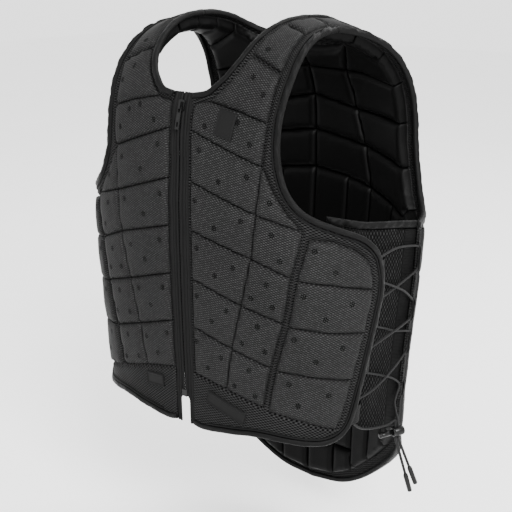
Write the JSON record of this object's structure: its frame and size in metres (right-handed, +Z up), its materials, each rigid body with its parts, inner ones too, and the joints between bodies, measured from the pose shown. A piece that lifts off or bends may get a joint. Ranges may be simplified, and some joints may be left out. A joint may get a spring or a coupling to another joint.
{
  "type": "riding body protector",
  "caption": "Zip-front riding body protector of foam blocks under open mesh, with a dropped back, side flaps and corded side lacing with cord locks.",
  "frame": {"origin": "midway between the shoulders, level with the inside of the shoulder arches, where the wearer's shoulders carry it", "axes": "+Z up, +X towards the wearer's left, the front faces -Y"},
  "size_m": [0.418, 0.2669, 0.6124],
  "materials": {
    "mesh_cloth": "open diamond mesh over dark foam",
    "side_mesh": "coarse open mesh",
    "ribbed_elastic": "fine-ribbed elastic",
    "satin_binding": "satin tape",
    "zip_tape": "woven tape",
    "zip_coil": "moulded coil",
    "zip_metal": "black painted casting",
    "bare_label": "bare moulded patch",
    "webbing": "woven webbing",
    "cord": "braided cord",
    "lock_plastic": "moulded"
  },
  "bodies": {
    "vest": {"front_panel_left": "mesh_cloth", "front_panel_right": "mesh_cloth", "back_panel": "mesh_cloth", "front_binding_left": "satin_binding", "back_binding_left": "satin_binding", "side_binding_left": "satin_binding", "side_mesh_left": "side_mesh", "side_elastic_left": "ribbed_elastic", "back_web_left": "webbing", "zip_tape_left": "zip_tape", "lace_left": "cord", "lock_body_left": "lock_plastic", "web_loop_left_1": "webbing", "web_loop_left_2": "webbing", "web_loop_left_3": "webbing", "web_loop_left_4": "webbing", "cord_end_left_1": "cord", "cord_tip_left_1": "lock_plastic", "cord_end_left_2": "cord", "cord_tip_left_2": "lock_plastic", "front_binding_right": "satin_binding", "back_binding_right": "satin_binding", "side_binding_right": "satin_binding", "side_mesh_right": "side_mesh", "side_elastic_right": "ribbed_elastic", "back_web_right": "webbing", "zip_tape_right": "zip_tape", "lace_right": "cord", "lock_body_right": "lock_plastic", "web_loop_right_1": "webbing", "web_loop_right_2": "webbing", "web_loop_right_3": "webbing", "web_loop_right_4": "webbing", "cord_end_right_1": "cord", "cord_tip_right_1": "lock_plastic", "cord_end_right_2": "cord", "cord_tip_right_2": "lock_plastic", "neck_binding": "satin_binding", "tail_binding": "satin_binding", "zip_chain": "zip_coil", "zip_slider": "zip_metal", "zip_box": "lock_plastic", "chest_patch": "bare_label", "label_left": "bare_label", "label_right": "bare_label"},
    "pull": {"zip_pull": "zip_metal"},
    "plunger_left": {"lock_plunger_left": "lock_plastic"},
    "plunger_right": {"lock_plunger_right": "lock_plastic"}
  },
  "joints": [
    {"name": "zip_pull_swing", "type": "hinge", "parent": "vest", "child": "pull", "pos_m": [0, -0.1309, -0.0685], "axis": [-1, 0, 0], "range_deg": [0, 150]},
    {"name": "lock_press_left", "type": "slide", "parent": "vest", "child": "plunger_left", "axis": [0.4498, 0.8896, 0.08], "range_m": [0, 0.0025], "stiffness_N_per_m": 300, "springref_m": -0.004},
    {"name": "lock_press_right", "type": "slide", "parent": "vest", "child": "plunger_right", "axis": [-0.4498, 0.8896, 0.08], "range_m": [0, 0.0025], "stiffness_N_per_m": 300, "springref_m": -0.004}
  ]
}
